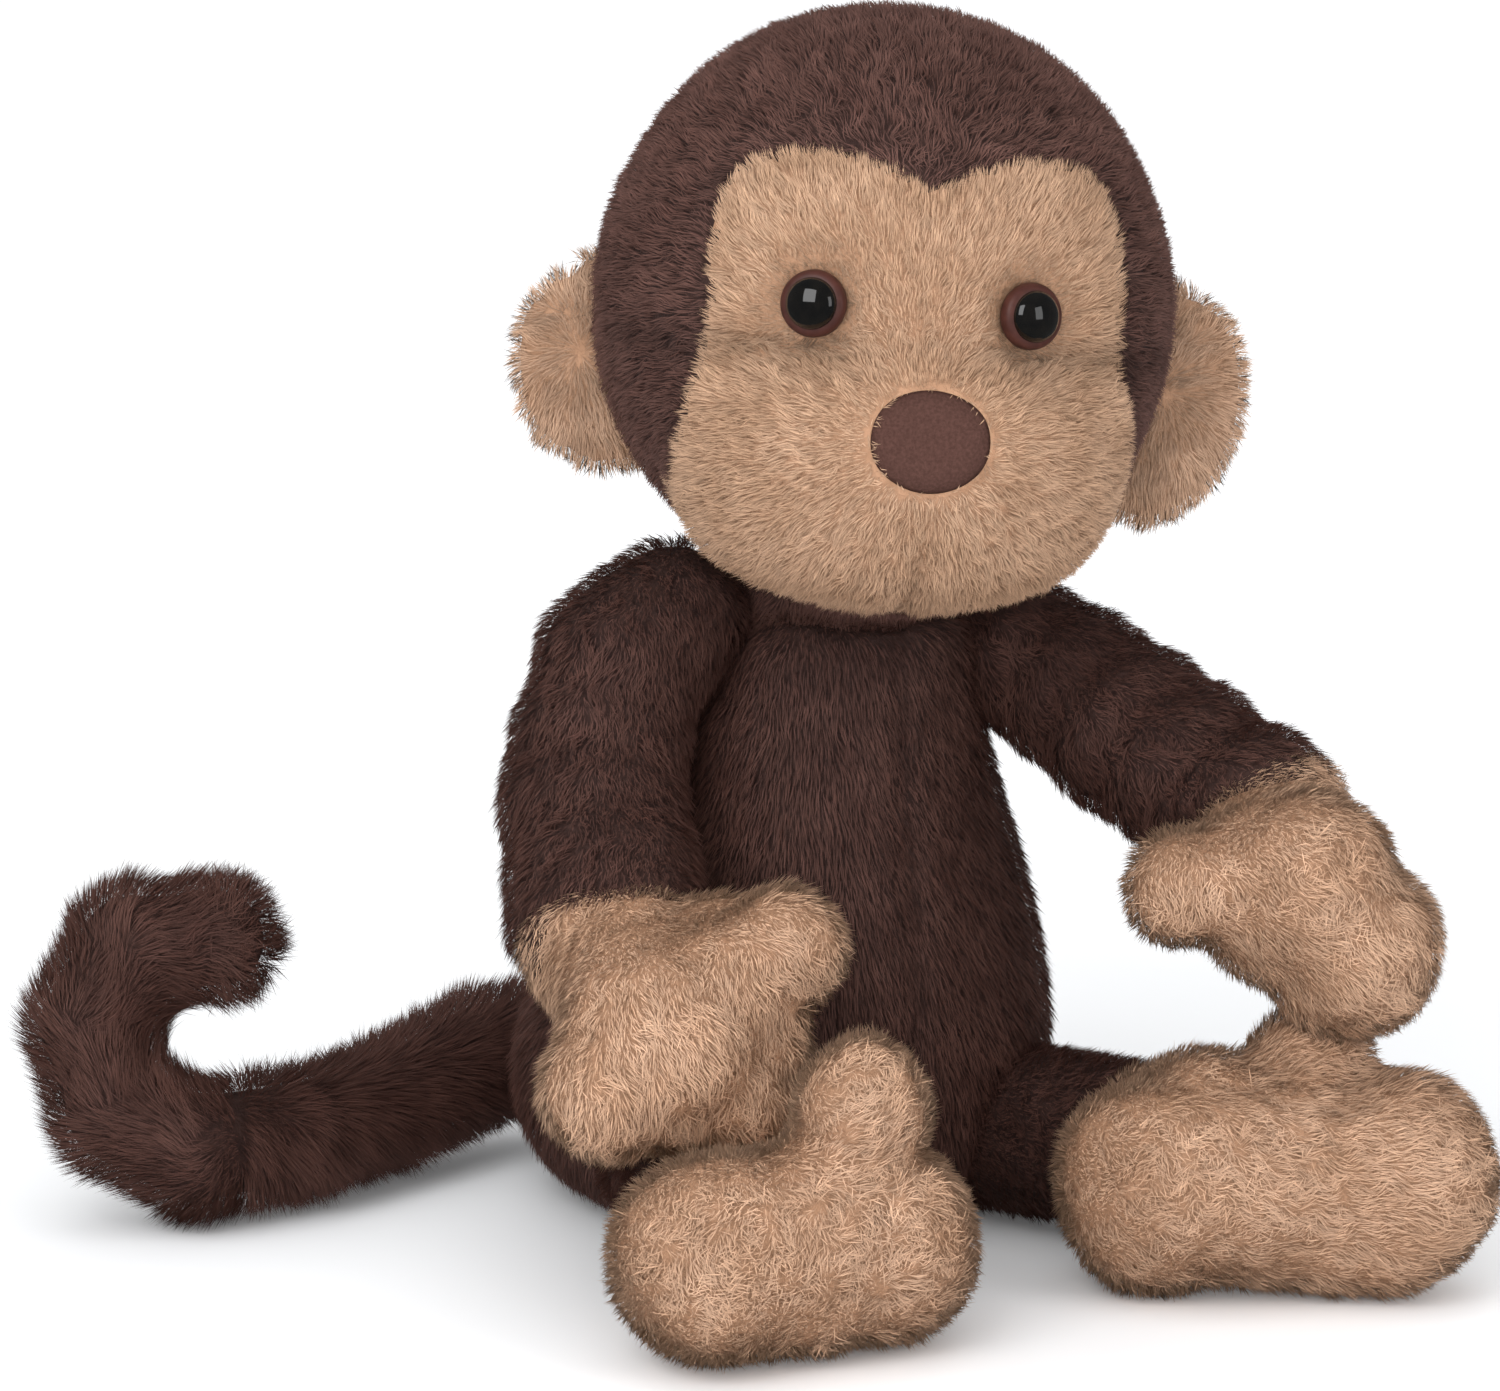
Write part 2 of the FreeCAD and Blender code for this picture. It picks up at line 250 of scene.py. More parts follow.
def smooth(co, edges, rounds):
    """Evens out a surface and holds its volume."""
    count = np.bincount(edges.ravel(), minlength=len(co))[:, None]
    for _ in range(rounds):
        for step in SMOOTH_STEPS:
            total = np.zeros_like(co)
            np.add.at(total, edges[:, 0], co[edges[:, 1]])
            np.add.at(total, edges[:, 1], co[edges[:, 0]])
            co = co + step * (total / np.maximum(count, 1) - co)
    return co


def make_skin(name, nodes, inset, rounds=6, hull=False, balls=(), sculpt=None):
    """One closed smooth skin around CAD nodes, set in by the depth of its pile."""
    bm = bmesh.new()
    for node in nodes:
        bm.from_mesh(frame["nodes"][node].data)
    for centre, radius in balls:
        place = Matrix.Translation(centre)
        bmesh.ops.create_icosphere(bm, subdivisions=4, radius=radius, matrix=place)
    bmesh.ops.remove_doubles(bm, verts=bm.verts, dist=1e-6)
    if hull:
        found = bmesh.ops.convex_hull(bm, input=bm.verts)
        inner = [v for v in found["geom_interior"] if isinstance(v, bmesh.types.BMVert)]
        bmesh.ops.delete(bm, geom=inner, context="VERTS")
    mesh = bpy.data.meshes.new(name)
    bm.to_mesh(mesh)
    bm.free()
    obj = new_object(name, mesh)
    remesh = obj.modifiers.new("remesh", "REMESH")
    remesh.mode = "VOXEL"
    remesh.voxel_size = VOXEL
    obj.data = evaluated(obj)
    obj.modifiers.clear()
    bm = bmesh.new()
    bm.from_mesh(obj.data)
    keep_largest(bm)
    bm.to_mesh(obj.data)
    bm.free()
    mesh = obj.data
    edges = np.zeros(len(mesh.edges) * 2, int)
    mesh.edges.foreach_get("vertices", edges)
    edges = edges.reshape(-1, 2)
    co, _, _ = mesh_arrays(mesh)
    co = smooth(co, edges, rounds)
    set_points(mesh, co)
    co, _, normals = mesh_arrays(mesh)
    co = co - normals * inset
    if sculpt:
        co = sculpt(co, normals)
    co = smooth(co, edges, 2)
    set_points(mesh, co)
    mesh.polygons.foreach_set("use_smooth", np.ones(len(mesh.polygons), bool))
    return obj


# ---- materials ----
WORN_SHARE = 0.45              # how much of the pile's colour varies in soft patches
NOISE_LOW, NOISE_HIGH = 0.35, 0.65     # where most of a noise's values lie


def new_material(name):
    """A material with its nodes, links and shader."""
    material = bpy.data.materials.new(name)
    material.use_nodes = True
    nodes = material.node_tree.nodes
    shader = nodes["Principled BSDF"]
    return material, nodes, material.node_tree.links, shader


def mix_colour(nodes, links, share, low, high):
    """A node that goes from one colour to another. Colours may be sockets or values."""
    mix = nodes.new("ShaderNodeMix")
    mix.data_type = "RGBA"
    for socket, value in ((mix.inputs["Factor"], share), (mix.inputs["A"], low), (mix.inputs["B"], high)):
        if isinstance(value, bpy.types.NodeSocket):
            links.new(value, socket)
        else:
            socket.default_value = value
    return mix.outputs["Result"]


def noise(nodes, links, scale, detail):
    """Noise fixed to the object, stretched to run from 0 to 1."""
    place = nodes.new("ShaderNodeTexCoord")
    texture = nodes.new("ShaderNodeTexNoise")
    texture.inputs["Scale"].default_value = scale
    texture.inputs["Detail"].default_value = detail
    links.new(place.outputs["Object"], texture.inputs["Vector"])
    spread = nodes.new("ShaderNodeMapRange")
    spread.inputs["From Min"].default_value = NOISE_LOW
    spread.inputs["From Max"].default_value = NOISE_HIGH
    links.new(texture.outputs["Fac"], spread.inputs["Value"])
    return spread.outputs["Result"]


def attribute(nodes, name):
    """The fibres' own value of that name."""
    reader = nodes.new("ShaderNodeAttribute")
    reader.attribute_name = name
    return reader.outputs["Fac"]


def add_bump(nodes, links, shader, height, strength, distance):
    bump = nodes.new("ShaderNodeBump")
    bump.inputs["Strength"].default_value = strength
    bump.inputs["Distance"].default_value = distance
    links.new(height, bump.inputs["Height"])
    links.new(bump.outputs["Normal"], shader.inputs["Normal"])


def pile_material(name, root, tip, faded, sheen):
    """Fibres: darker at the root, lighter at the tip, and lit from outside on both faces."""
    material, nodes, links, shader = new_material(name)
    along = mix_colour(nodes, links, attribute(nodes, "tone"), root, tip)
    worn = mix_colour(nodes, links, noise(nodes, links, 85.0, 3.0), along, faded)
    vary = nodes.new("ShaderNodeHueSaturation")
    links.new(attribute(nodes, "shade"), vary.inputs["Value"])
    links.new(mix_colour(nodes, links, WORN_SHARE, along, worn), vary.inputs["Color"])
    links.new(vary.outputs["Color"], shader.inputs["Base Color"])
    shader.inputs["Roughness"].default_value = 0.72
    shader.inputs["Specular IOR Level"].default_value = 0.25
    shader.inputs["Sheen Weight"].default_value = sheen
    shader.inputs["Sheen Roughness"].default_value = 0.4
    shader.inputs["Sheen Tint"].default_value = tip
    place = nodes.new("ShaderNodeNewGeometry")
    flip = nodes.new("ShaderNodeMath")
    flip.operation = "MULTIPLY_ADD"
    flip.inputs[1].default_value = -2.0
    flip.inputs[2].default_value = 1.0
    links.new(place.outputs["Backfacing"], flip.inputs[0])
    outward = nodes.new("ShaderNodeVectorMath")
    outward.operation = "SCALE"
    links.new(place.outputs["Normal"], outward.inputs[0])
    links.new(flip.outputs["Value"], outward.inputs["Scale"])
    links.new(outward.outputs["Vector"], shader.inputs["Normal"])
    return material


def backing_material(name, dark, light):
    """The knitted ground that the pile grows from."""
    material, nodes, links, shader = new_material(name)
    colour = mix_colour(nodes, links, noise(nodes, links, 260.0, 3.0), dark, light)
    links.new(colour, shader.inputs["Base Color"])
    shader.inputs["Roughness"].default_value = 0.9
    add_bump(nodes, links, shader, noise(nodes, links, 900.0, 2.0), 0.6, 0.4 * MM)
    return material


def plain_material(name, dark, light, scale, roughness, bump_depth):
    """A moulded or cut surface with a faint grain."""
    material, nodes, links, shader = new_material(name)
    grain = noise(nodes, links, scale, 4.0)
    links.new(mix_colour(nodes, links, grain, dark, light), shader.inputs["Base Color"])
    shader.inputs["Roughness"].default_value = roughness
    add_bump(nodes, links, shader, grain, 0.35, bump_depth)
    return material


BROWN_PILE = pile_material(
    "brown_pile", (0.022, 0.009, 0.007, 1), (0.086, 0.038, 0.029, 1), (0.114, 0.054, 0.042, 1), 0.25
)
CAP_PILE = pile_material(
    "cap_pile", (0.020, 0.008, 0.006, 1), (0.112, 0.053, 0.042, 1), (0.142, 0.071, 0.057, 1), 0.35
)
TAN_PILE = pile_material(
    "tan_pile", (0.25, 0.130, 0.070, 1), (0.600, 0.375, 0.245, 1), (0.660, 0.430, 0.295, 1), 0.08
)
FACE_PILE = pile_material(
    "face_pile", (0.23, 0.125, 0.070, 1), (0.522, 0.327, 0.208, 1), (0.585, 0.380, 0.253, 1), 0.06
)
BROWN_BACKING = backing_material("brown_backing", (0.022, 0.009, 0.007, 1), (0.040, 0.018, 0.014, 1))
TAN_BACKING = backing_material("tan_backing", (0.30, 0.165, 0.095, 1), (0.38, 0.215, 0.128, 1))
MATERIALS = {
    "brown_plush": (BROWN_PILE, BROWN_BACKING),
    "cap_plush": (CAP_PILE, BROWN_BACKING),
    "tan_plush": (TAN_PILE, TAN_BACKING),
    "face_plush": (FACE_PILE, TAN_BACKING),
}


# ---- the pile ----
def inside_other(points, others, depth):
    """Which points lie more than a depth inside any of the other skins."""
    hidden = np.zeros(len(points), bool)
    for tree, low, high in others:
        near = np.all((points > low) & (points < high), axis=1) & ~hidden
        for index in np.flatnonzero(near):
            spot = Vector(points[index])
            found, normal, _, _ = tree.find_nearest(spot)
            if found is not None and (spot - found).dot(normal) < -depth:
                hidden[index] = True
    return hidden


def scatter(co, tris, normals, share, rng):
    """Random points spread evenly over the triangles, with their normals."""
    a, b, c = (co[tris[:, i]] for i in range(3))
    area = 0.5 * np.linalg.norm(np.cross(b - a, c - a), axis=1)
    wanted = area * share
    count = np.floor(wanted + rng.random(len(wanted))).astype(int)
    face = np.repeat(np.arange(len(tris)), count)
    u = np.sqrt(rng.random(len(face)))
    v = rng.random(len(face))
    weights = np.stack((1.0 - u, u * (1.0 - v), u * v), axis=1)
    corner = tris[face]
    points = np.einsum("ij,ijk->ik", weights, co[corner])
    return points, unit(np.einsum("ij,ijk->ik", weights, normals[corner]))


def fibre_mesh(name, root, middle, tip, side, normal, tone, shade):
    """Every fibre as a narrow bent blade of two triangles, with its own UV cell."""
    count = len(root)
    width = side * 0.5
    co = np.stack((root, middle - width, middle + width, tip), axis=1).reshape(-1, 3)
    first = np.arange(count)[:, None] * 4
    faces = (first + np.array([[0, 2, 1, 1, 2, 3]])).reshape(-1)
    mesh = bpy.data.meshes.new(name)
    mesh.vertices.add(count * 4)
    mesh.loops.add(count * 6)
    mesh.polygons.add(count * 2)
    mesh.vertices.foreach_set("co", co.ravel())
    mesh.loops.foreach_set("vertex_index", faces)
    mesh.polygons.foreach_set("loop_start", np.arange(count * 2) * 3)
    mesh.polygons.foreach_set("use_smooth", np.ones(count * 2, bool))
    mesh.update(calc_edges=True)
    layer = mesh.uv_layers.new(name="OFBake")
    cells = int(np.ceil(np.sqrt(count)))
    corner = np.stack((np.arange(count) % cells, np.arange(count) // cells), axis=1) / cells
    shape = np.array([[0.5, 0.05], [0.9, 0.4], [0.1, 0.4], [0.1, 0.4], [0.9, 0.4], [0.5, 0.95]])
    layer.data.foreach_set("uv", (corner[:, None, :] + shape[None] / cells).ravel())
    for label, values in (("tone", tone), ("shade", np.repeat(shade, 4))):
        mesh.attributes.new(label, "FLOAT", "POINT").data.foreach_set("value", values.ravel())
    mesh.normals_split_custom_set_from_vertices(np.repeat(normal, 4, axis=0))
    return new_object(name, mesh)


# A look says how a piece's pile grows: its length and its lean from upright in radians, how far
# it bends further along, how it ruffles in tufts, strays and darkens in clumps, and how dense
# and wide its fibres are beside the usual.
PLAIN_LOOK = {
    "density": 1.0, "width": 1.0, "bend": 0.35, "tuft": 5.0 * MM, "ruffle": 0.35, "stray": 0.15,
    "clump": 0.25,
}


# How much single fibres differ, as a low and a high share or as a spread.
LENGTH_SHARE = (0.70, 1.08)
WIDTH_SHARE = (0.7, 1.3)
SHADE_SHARE = (0.80, 1.20)
SHADE_LIMITS = (0.2, 1.5)
LEAN_LIMITS = (0.05, 1.35)
LEAN_SPREAD = 0.09
TWIST_SPREAD = 0.35
NORMAL_SPREAD = 0.14
TONES = (0.0, 0.48, 0.48, 1.0)     # from dark to light: root, both middle points, tip


def grow(skin, name, look, rng_seed, others, extra):
    """Covers a skin with pile, which extra may bend, shorten, darken or thin by place; some of that
    darkening is painted shade.
    """
    look = {**PLAIN_LOOK, **look}
    rng = np.random.default_rng(rng_seed)
    co, tris, normals = mesh_arrays(skin.data)
    centres = co[tris].mean(axis=1)
    hidden = inside_other(centres, others, HIDDEN_DEPTH)
    share = np.where(hidden, 0.0, PILE_DENSITY * look["density"])
    root, normal = scatter(co, tris, normals, share, rng)
    comb = look["comb"](root, normal)
    length = np.full(len(root), look["length"])
    lean = np.full(len(root), look["lean"])
    dark = np.zeros(len(root))
    if extra:
        root, normal, comb, length, lean, dark, keep = extra(root, normal, comb, length, lean, dark)
        root, normal, comb = root[keep], normal[keep], comb[keep]
        length, lean, dark = length[keep], lean[keep], dark[keep]
    count = len(root)
    tuft = waves(root, look["tuft"], rng_seed + 1) * look["ruffle"]
    comb = comb + tuft + rng.normal(size=(count, 3)) * look["stray"]
    comb = unit(comb - normal * dot(comb, normal)[:, None])
    lean = np.clip(lean + 0.20 * tuft[:, 0] + rng.normal(size=count) * LEAN_SPREAD, *LEAN_LIMITS)
    length = length * rng.uniform(*LENGTH_SHARE, count) * (1.0 + 0.15 * tuft[:, 1])
    rise = normal * np.cos(lean)[:, None] + comb * np.sin(lean)[:, None]
    bent = lean + look["bend"]
    fall = normal * np.cos(bent)[:, None] + comb * np.sin(bent)[:, None]
    middle = root + rise * (length * 0.5)[:, None]
    tip = middle + fall * (length * 0.5)[:, None]
    root = root - normal * ROOT_SINK
    for row in (root, middle, tip):
        row[:, 2] = np.maximum(row[:, 2], FLOOR_GAP)
    side = unit(np.cross(rise, normal) + rng.normal(size=(count, 3)) * TWIST_SPREAD)
    side = side * (FIBRE_WIDTH * look["width"] * rng.uniform(*WIDTH_SHARE, count))[:, None]
    facing = unit(normal + rng.normal(size=(count, 3)) * NORMAL_SPREAD)
    # dark holds the darkening by place, partly painted shade in hollows, creases and round the eyes and
    # nose
    clump = 1.0 + look["clump"] * tuft[:, 2] - dark
    shade = np.clip(clump * rng.uniform(*SHADE_SHARE, count), *SHADE_LIMITS)
    tone = np.tile(np.array(TONES), (count, 1))
    obj = fibre_mesh(name, root, middle, tip, side, facing, tone, shade)
    obj.data.materials.append(MATERIALS[look["material"]][0])
    return obj


# ---- combing ----
def comb_along(way):
    """The same way everywhere."""
    way = np.array(way, float)
    return lambda points, normals: np.tile(way, (len(points), 1))


def comb_from(centre, lift=(0.0, 0.0, 0.0)):
    """Away from a point, with a steady pull added."""
    centre, lift = np.array(centre, float), np.array(lift, float)
    return lambda points, normals: unit(points - centre) + lift


def comb_line(line):
    """Along a line of points, each place following the stretch nearest to it."""
    stops = np.array(line, float)
    starts, ways = stops[:-1], np.diff(stops, axis=0)

    def comb(points, normals):
        best = np.full(len(points), np.inf)
        out = np.zeros((len(points), 3))
        for start, way in zip(starts, ways):
            share = np.clip((points - start) @ way / (way @ way), 0.0, 1.0)
            away = np.linalg.norm(points - start - share[:, None] * way, axis=1)
            closer = away < best
            best[closer] = away[closer]
            out[closer] = way / np.linalg.norm(way)
        past = points - stops[-1]
        over = (past @ ways[-1]) > 0.0
        out[over] = unit(past[over])
        return out
    return comb


# ---- the head ----
OUTLINE = np.array(FACE_OUTLINE) * MM


def face_depth(points):
    """How far inside the face panel's outline points are, in metres, negative outside."""
    local = to_head(points)
    flat = np.stack((np.abs(local[:, 0]), local[:, 2]), axis=1)
    best = np.full(len(flat), np.inf)
    winding = np.zeros(len(flat), bool)
    for start, end in zip(OUTLINE[:-1], OUTLINE[1:]):
        way = end - start
        share = np.clip((flat - start) @ way / (way @ way), 0.0, 1.0)
        best = np.minimum(best, np.linalg.norm(flat - start - share[:, None] * way, axis=1))
        crosses = (start[1] > flat[:, 1]) != (end[1] > flat[:, 1])
        reach = start[0] + (flat[:, 1] - start[1]) * way[0] / (way[1] if way[1] else 1e-9)
        winding ^= crosses & (flat[:, 0] < reach)
    depth = np.where(winding, best, -best)
    # The panel's back edge curves forward round the jaw.
    jaw = 0.9 * np.clip(-local[:, 2] - 32.0 * MM, 0.0, None)
    return np.minimum(depth, FACE_BACK - local[:, 1] - jaw)


def eye_seat(name):
    """Where an eye sits and which way it looks, in the head's frame."""
    aside, up = EYES[name]
    seat = Vector((aside, -(HEAD_R ** 2 - aside ** 2 - up ** 2) ** 0.5, up))
    return seat, seat.normalized()


def muzzle_rise(local):
    """How far points are below the muzzle's upper crease, level with the eyes' lower rims."""
    return MUZZLE_TOP + 3.0 * MM * bell(local[:, 0], 14.0 * MM) - local[:, 2]


def muzzle_fold(local):
    """How near points are to that crease, from 0 to 1, for its shape and its painted shade. It fades out
    over the bridge of the nose.
    """
    beside = 0.25 + 0.75 * ramp(np.abs(local[:, 0]), 6.0 * MM, 22.0 * MM)
    front = ramp(-local[:, 1], 8.0 * MM, 26.0 * MM)
    return bell(muzzle_rise(local), CREASE_WIDTH) * beside * front


def sculpt_head(co, normals):
    """The muzzle swells out below its crease, the crown is full, and the eyes sit in hollows."""
    local = to_head(co)
    front = ramp(-local[:, 1], 8.0 * MM, 30.0 * MM)
    low = 1.0 - ramp(-local[:, 2], 44.0 * MM, 62.0 * MM)
    on_face = ramp(face_depth(co), -8.0 * MM, 5.0 * MM)
    swell = MUZZLE_SWELL * ramp(muzzle_rise(local), 0.0, 13.0 * MM) * low * on_face
    chin = CHIN_SEAM_DEPTH * bell(local[:, 0], 3.2 * MM) * ramp(-local[:, 2], 30.0 * MM, 36.0 * MM)
    rim = PANEL_SEAM_DEPTH * bell(face_depth(co), 2.6 * MM)
    sockets = np.zeros(len(co))
    for name in EYES:
        seat, _ = eye_seat(name)
        away = np.linalg.norm(local - np.array(seat), axis=1)
        sockets += SOCKET_DEPTH * bell(away, SOCKET_R)
    crown = CROWN_RISE * ramp(local[:, 2], 25.0 * MM, 58.0 * MM)
    crease = CREASE_DEPTH * muzzle_fold(local) * on_face
    push = crown + front * (swell - chin) - crease - rim - sockets
    return co + normals * push[:, None]


def head_extra(on_face):
    """Keeps the pile off the eyes and nose, parts it there, and picks cap or face. Paints shade round the
    eyes, along the nose's edge and in the muzzle's crease, and darkens the seams.
    """
    def extra(root, normal, comb, length, lean, dark):
        local = to_head(root)
        ways = comb @ np.array(HEAD_TURN)
        depth = face_depth(root)
        keep = (depth > 0.0) if on_face else (depth <= 0.0)
        for name in EYES:
            seat, outward = eye_seat(name)
            off = local - np.array(seat)
            off -= (off @ np.array(outward))[:, None] * np.array(outward)
            away = np.linalg.norm(off, axis=1)
            keep &= (away > EYE_CLEAR) | (local[:, 1] > 0.0)
            near = (1.0 - ramp(away, 6.5 * MM, 14.0 * MM)) * (local[:, 1] < 0.0)
            length = length * (1.0 - 0.50 * near)
            ways = ways + 0.9 * near[:, None] * unit(off)
            # painted shade round the eyes, in their hollows
            dark = dark + 0.40 * near
        reach = np.hypot(
            (local[:, 0] - NOSE_AT.x) / NOSE_HALF[0], (local[:, 2] - NOSE_AT.z) / NOSE_HALF[1]
        )
        front = local[:, 1] < 0.0
        keep &= (reach > NOSE_CLEAR) | ~front
        by_nose = np.where(front, 1.0 - ramp(reach, 0.95, 1.7), 0.0)
        length = length * (1.0 - 0.30 * by_nose)
        ways = np.where((front & (reach < 1.05))[:, None], -0.1 * ways, ways)
        # painted shade along the nose's edge, where the pile meets the pad
        dark = dark + 0.30 * np.where(front, bell(reach - 0.98, 0.07), 0.0)
        # painted shade in the muzzle's crease under the eyes
        dark = dark + 0.32 * muzzle_fold(local)
        seam = bell(local[:, 0], 1.6 * MM) * ramp(-local[:, 2], 33.0 * MM, 40.0 * MM)
        seam = np.where(front, seam, 0.0)
        rim = bell(depth, 1.5 * MM)
        length = length * (1.0 - 0.35 * seam) * (1.0 - 0.2 * rim)
        dark = dark + 0.20 * seam + 0.12 * rim
        return root, normal, from_head(ways), length, lean, dark, keep
    return extra


def comb_face(points, normals):
    """Away from the nose, and up over the brow."""
    local = to_head(points)
    away = unit(local - np.array(NOSE_AT))
    away[:, 2] += 0.5 * ramp(local[:, 2], 5.0 * MM, 30.0 * MM)
    return from_head(away)


def comb_cap(points, normals):
    """Back from the face, and down at the sides and behind."""
    local = to_head(points)
    ways = np.tile(np.array([0.0, 0.8, 0.0]), (len(points), 1))
    ways[:, 2] -= 0.9 * ramp(-local[:, 2] + local[:, 1], -45.0 * MM, 30.0 * MM)
    ways[:, 0] += 6.0 * local[:, 0]
    return from_head(ways)


def split_skin(whole, name, want_face):
    """The part of the head's skin on one side of the face panel's seam."""
    mesh = whole.data.copy()
    bm = bmesh.new()
    bm.from_mesh(mesh)
    centres = np.array([face.calc_center_median() for face in bm.faces])
    on_face = face_depth(centres) > 0.0
    drop = [face for face, here in zip(bm.faces, on_face) if here != want_face]
    bmesh.ops.delete(bm, geom=drop, context="FACES")
    bm.to_mesh(mesh)
    bm.free()
    return new_object(name, mesh)


# ---- the torso ----
def body_seam(points, slant, here):
    """How near points are to a seam down the body's middle, from 0 to 1, where here is true."""
    middle = slant * (points[:, 2] - 20.0 * MM)
    return np.where(here, bell(points[:, 0] - middle, 2.4 * MM), 0.0)


def belly_seam(points):
    return body_seam(points, 0.06, points[:, 1] < 0.0)


def back_seam(points):
    return body_seam(points, 0.05, points[:, 1] > 0.0)


def sculpt_torso(co, normals):
    """Seams pulled in a little, and the soft unevenness of stuffing."""
    seams = 1.2 * MM * belly_seam(co) + 1.0 * MM * back_seam(co)
    lumps = waves(co, 55.0 * MM, 31)[:, 0] * 0.8 * MM
    out = co + normals * (lumps - seams)[:, None]
    out[:, 2] = np.maximum(out[:, 2], SEAT_GAP)
    return out


def torso_extra(root, normal, comb, length, lean, dark):
    """Shorter, darker pile along the seams."""
    seam = np.maximum(belly_seam(root), back_seam(root))
    length = length * (1.0 - 0.3 * seam)
    dark = dark + 0.22 * seam
    return root, normal, comb, length, lean, dark, np.ones(len(root), bool)


def sculpt_ear(side):
    """The ear's root runs on into the head, where it is sewn in, and its rim is full."""
    middle = np.array(middle_of(side + "_ear_front"))

    def sculpt(co, normals):
        co = middle + (co - middle) * EAR_GROWTH
        away = co - np.array(HEAD_CENTRE)
        reach = np.linalg.norm(away, axis=1)
        pull = 12.0 * MM * (1.0 - ramp(reach, 64.0 * MM, 78.0 * MM))
        plump = 1.0 * MM * ramp(reach, 72.0 * MM, 84.0 * MM)
        return co - away / reach[:, None] * pull[:, None] + normals * plump[:, None]
    return sculpt


def past_seam(points, seam):
    """How far points are past a seam, towards the hand or foot."""
    spot, way = seam
    return (points - np.array(spot)) @ np.array(way)


def gathers(points, spot):
    """Small folds that fan out from where a thumb or toe is sewn on, from 0 to 1."""
    if spot is None:
        return np.zeros(len(points))
    off = points - np.array(spot)
    fan = 0.5 + 0.5 * np.cos(7.0 * np.arctan2(off[:, 2], off[:, 0]))
    return fan ** 3 * bell(np.linalg.norm(off, axis=1), 13.0 * MM)


def sculpt_soft(size, depth, seed, seam=None, spot=None):
    """The soft unevenness of a stuffed piece. A hand or foot tucks in behind its seam."""
    def sculpt(co, normals):
        out = co + normals * (waves(co, size, seed)[:, :1] * depth)
        out = out - normals * (2.0 * MM * gathers(co, spot))[:, None]
        if seam:
            tuck = 3.6 * MM * ramp(-past_seam(co, seam), -1.5 * MM, 2.5 * MM)
            out = out - normals * tuck[:, None]
        out[:, 2] = np.maximum(out[:, 2], SEAT_GAP)
        return out
    return sculpt


def ear_extra(side):
    """Painted shade: the ear's pile is darkened all over, more in its cup and most at its root by the
    head.
    """
    middle = np.array(middle_of(side + "_ear_front"))

    def extra(root, normal, comb, length, lean, dark):
        cup = bell(np.linalg.norm(root - middle, axis=1), 15.0 * MM)
        near = 1.0 - ramp(np.linalg.norm(root - np.array(HEAD_CENTRE), axis=1), 62.0 * MM, 80.0 * MM)
        # painted shade, deepest in the cup and at the root against the head
        dark = dark + 0.10 + 0.13 * cup + 0.18 * near
        return root, normal, comb, length * (1.0 - 0.2 * cup), lean, dark, np.ones(len(root), bool)
    return extra


def seam_extra(seam, beyond, spot=None):
    """Pile on one side of a seam only, shorter and darker along it, with painted shade in the gathers'
    folds.
    """
    def extra(root, normal, comb, length, lean, dark):
        past = past_seam(root, seam) * (1.0 if beyond else -1.0)
        keep = past > (-0.5 * MM if beyond else -1.5 * MM)
        near = bell(past, 1.6 * MM)
        # the seam line is only darker; the gathers' folds get painted shade
        dark = dark + 0.10 * near + 0.35 * gathers(root, spot)
        return root, normal, comb, length * (1.0 - 0.15 * near), lean, dark, keep
    return extra


# ---- building the soft pieces ----
def at(joint):
    """Where a joint is."""
    return Vector(JOINTS[joint]["pos_m"])


def middle_of(node):
    """The middle of a node's box."""
    low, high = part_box(node)
    return (low + high) * 0.5


def towards(joint, node, reach):
    """A point at a joint plus a reach towards the middle of a node."""
    return at(joint) + (middle_of(node) - at(joint)).normalized() * reach


def limb_blend(joint, parent, child, node, before, after):
    """A bend about a joint, from a reach before it to a reach after it, towards a node."""
    return (parent, child, towards(joint, node, -before), towards(joint, node, after))


BROWN_LOOK = {"material": "brown_plush", "length": 5.6 * MM, "lean": 0.82, "ruffle": 0.24}
TAN_LOOK = {
    "material": "tan_plush", "length": 5.2 * MM, "lean": 0.78, "ruffle": 0.24, "tuft": 6.0 * MM,
}
TORSO_LOOK = {
    **BROWN_LOOK, "comb": comb_from((0.005, 0.004, 0.150), (0.0, 0.0, -1.4)), "density": 0.72,
    "width": 1.12,
}
TAIL_LOOK = {
    **BROWN_LOOK, "comb": comb_line(TAIL_LINE), "length": 9.0 * MM, "lean": 0.62, "ruffle": 0.22,
    "tuft": 8.0 * MM, "bend": 0.25, "width": 0.9, "density": 1.35,
}
NECK_LOOK = {**BROWN_LOOK, "comb": comb_from(HEAD_CENTRE), "length": 4.6 * MM}
CAP_LOOK = {
    "material": "cap_plush", "length": 4.4 * MM, "lean": 0.72, "ruffle": 0.28, "comb": comb_cap,
    "density": 0.84, "width": 1.08, "clump": 0.35,
}
FACE_LOOK = {
    "material": "face_plush", "length": 4.0 * MM, "lean": 0.66, "ruffle": 0.30, "comb": comb_face,
    "density": 1.5, "width": 0.85, "tuft": 4.0 * MM, "clump": 0.20,
}

PIECES = []


def piece(name, outer, inner, inset, look, blend=None, extra=None, **shape):
    """A soft piece on the body of its own name. Its skin wraps the outer nodes, and it stands
    for them and for the inner ones."""
    skin = make_skin(name + "_skin", outer, inset, **shape)
    PIECES.append({
        "name": name, "skin": skin, "body": name, "stands_for": outer + inner, "look": look,
        "blend": blend, "slot": look["material"], "extra": extra,
    })


